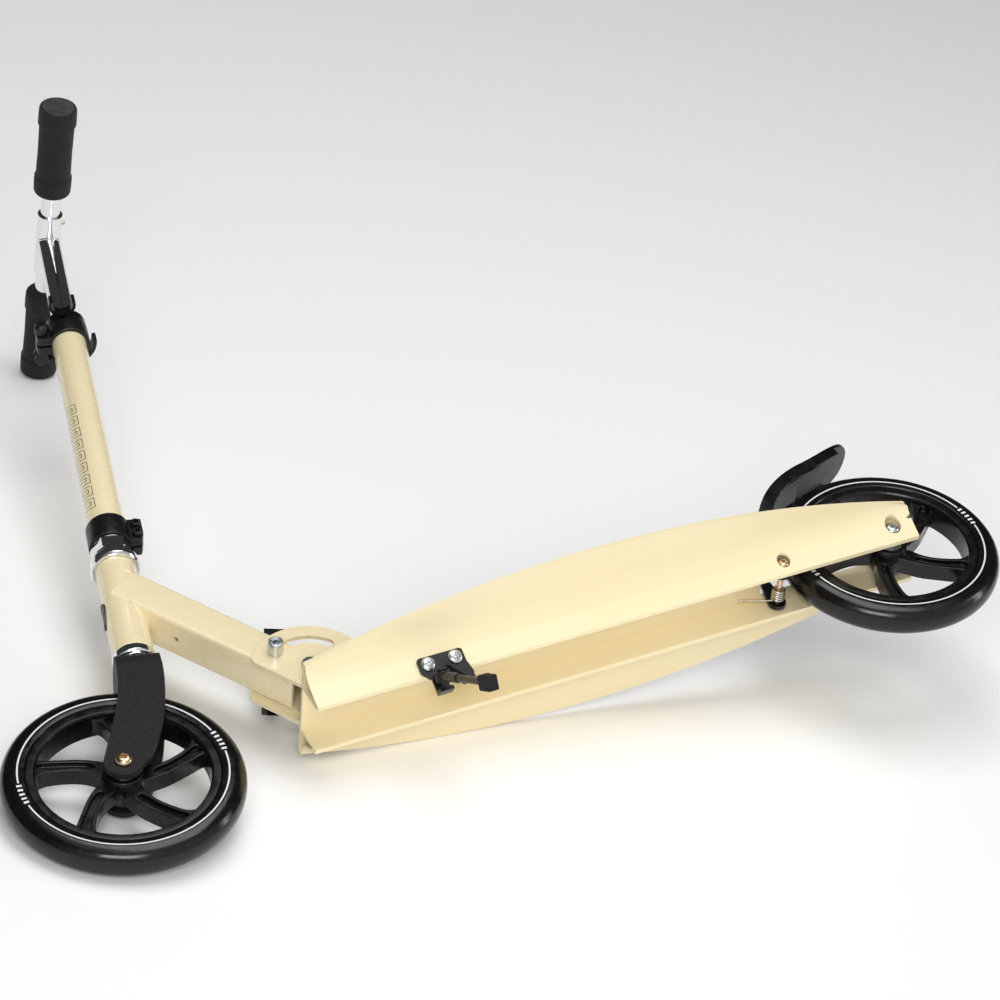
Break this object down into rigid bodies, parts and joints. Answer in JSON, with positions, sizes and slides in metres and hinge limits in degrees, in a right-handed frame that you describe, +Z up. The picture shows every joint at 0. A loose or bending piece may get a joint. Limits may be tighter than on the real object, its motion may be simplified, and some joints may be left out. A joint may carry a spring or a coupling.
{
  "type": "kick scooter",
  "caption": "Folding kick scooter lying on its right side: large wheels, curved-edge deck, rear foot brake, folding column and telescopic T handlebar.",
  "frame": {"origin": "centre of the bounding box seen from above, at floor level", "axes": "+X from the front wheel towards the rear wheel along the floor; +Y towards the handlebar along the floor; +Z up from the floor, out of the scooter's left side"},
  "size_m": [0.9286, 0.8684, 0.3112],
  "materials": {
    "cream_enamel": "glossy",
    "cream_deck_enamel": "semi-gloss enamel on extruded aluminium",
    "black_textured_paint": "fine textured",
    "black_satin_paint": "satin",
    "chrome_plate": "mirror bright",
    "brass_plate": "yellow zinc",
    "zinc_plate": "bright zinc",
    "spring_steel": "drawn wire",
    "black_nylon": "moulded satin",
    "black_polyurethane": "smooth",
    "black_foam": "closed cell foam",
    "black_rubber": "matt",
    "black_grit_tape": "gritty"
  },
  "bodies": {
    "deck": {"deck_extrusion": "cream_deck_enamel", "grip_tape": "black_grit_tape", "rear_axle_bolt": "zinc_plate", "rear_axle_nut": "zinc_plate", "rear_spacer_left": "zinc_plate", "rear_spacer_right": "zinc_plate", "fender_rod": "zinc_plate", "fender_rod_nut": "zinc_plate", "brake_return_spring": "spring_steel", "kickstand_bracket": "black_satin_paint", "kickstand_spring": "spring_steel", "kickstand_screw_front": "zinc_plate", "kickstand_screw_rear": "zinc_plate", "fold_bracket": "cream_enamel", "fold_pivot_bolt": "zinc_plate", "fold_pivot_nut": "zinc_plate"},
    "rear_wheel": {"rear_tyre": "black_polyurethane", "rear_hub": "black_nylon", "rear_bearing_left": "zinc_plate", "rear_bearing_right": "zinc_plate"},
    "brake": {"brake_fender": "black_nylon", "brake_friction_plate": "zinc_plate"},
    "kickstand": {"kickstand_leg": "black_satin_paint", "kickstand_foot": "black_rubber"},
    "front_frame": {"front_frame": "cream_enamel", "head_badge": "black_satin_paint", "fold_lock_pin": "zinc_plate", "lower_headset_cup": "chrome_plate", "upper_headset_cup": "chrome_plate"},
    "fold_lever": {"fold_lever": "black_satin_paint"},
    "steering": {"fork": "black_textured_paint", "headset_locknut": "chrome_plate", "clamp_collar": "black_satin_paint", "clamp_bolt_lower": "black_satin_paint", "clamp_bolt_upper": "black_satin_paint", "steering_tube": "cream_enamel", "stem_bushing": "black_nylon", "top_clamp": "black_satin_paint", "top_clamp_skewer": "black_satin_paint", "bar_clip_ring": "black_nylon", "front_axle_bolt": "brass_plate", "front_axle_nut": "zinc_plate", "front_spacer_left": "zinc_plate", "front_spacer_right": "zinc_plate"},
    "front_wheel": {"front_tyre": "black_polyurethane", "front_hub": "black_nylon", "front_bearing_left": "zinc_plate", "front_bearing_right": "zinc_plate"},
    "top_clamp_lever": {"top_clamp_lever": "black_satin_paint"},
    "stem": {"stem_tee": "chrome_plate"},
    "left_bar": {"left_grip_bar": "chrome_plate", "left_grip": "black_foam"},
    "right_bar": {"right_grip_bar": "chrome_plate", "right_grip": "black_foam"},
    "left_button": {"left_snap_button": "brass_plate"},
    "right_button": {"right_snap_button": "brass_plate"}
  },
  "joints": [
    {"name": "rear_wheel_spin", "type": "hinge", "parent": "deck", "child": "rear_wheel", "pos_m": [0.36521, -0.32693, 0.134], "axis": [-0.1378, -0.1273, 0.9822], "continuous": true},
    {"name": "brake_press", "type": "hinge", "parent": "deck", "child": "brake", "pos_m": [0.25133, -0.32891, 0.11776], "axis": [0.1378, 0.1273, -0.9822], "range_deg": [0, 4.5], "stiffness_Nm_per_rad": 3, "springref_deg": -3.44},
    {"name": "kickstand_fold", "type": "hinge", "parent": "deck", "child": "kickstand", "pos_m": [-0.0938, -0.35046, 0.09996], "axis": [-0.1156, 0.4654, 0.8775], "range_deg": [0, 86]},
    {"name": "column_fold", "type": "hinge", "parent": "deck", "child": "front_frame", "pos_m": [-0.17927, -0.2813, 0.0635], "axis": [0.1378, 0.1273, -0.9822], "range_deg": [0, 76]},
    {"name": "fold_lever_open", "type": "hinge", "parent": "front_frame", "child": "fold_lever", "pos_m": [-0.19475, -0.2508, 0.02761], "axis": [-0.8978, 0.4348, -0.0696], "range_deg": [0, 110]},
    {"name": "steering_turn", "type": "hinge", "parent": "front_frame", "child": "steering", "pos_m": [-0.28773, -0.14361, 0.06613], "axis": [0.2509, 0.9549, 0.159], "range_deg": [-80, 80]},
    {"name": "front_wheel_spin", "type": "hinge", "parent": "steering", "child": "front_wheel", "pos_m": [-0.36523, -0.32693, 0.03149], "axis": [-0.1378, -0.1273, 0.9822], "continuous": true},
    {"name": "top_clamp_lever_open", "type": "hinge", "parent": "steering", "child": "top_clamp_lever", "pos_m": [-0.20853, 0.24906, 0.11133], "axis": [0.2509, 0.9549, 0.159], "range_deg": [0, 110]},
    {"name": "stem_height", "type": "slide", "parent": "steering", "child": "stem", "axis": [0.2509, 0.9549, 0.159], "range_m": [0, 0.2]},
    {"name": "left_bar_pull", "type": "slide", "parent": "stem", "child": "left_bar", "axis": [-0.0707, -0.1457, 0.9868], "range_m": [0, 0.025]},
    {"name": "right_bar_pull", "type": "slide", "parent": "stem", "child": "right_bar", "axis": [0.0707, 0.1457, -0.9868], "range_m": [0, 0.025]},
    {"name": "left_button_press", "type": "slide", "parent": "stem", "child": "left_button", "axis": [-0.9654, 0.2589, -0.0309], "range_m": [0, 0.002], "stiffness_N_per_m": 400, "springref_m": -0.001},
    {"name": "right_button_press", "type": "slide", "parent": "stem", "child": "right_button", "axis": [-0.9654, 0.2589, -0.0309], "range_m": [0, 0.002], "stiffness_N_per_m": 400, "springref_m": -0.001}
  ]
}
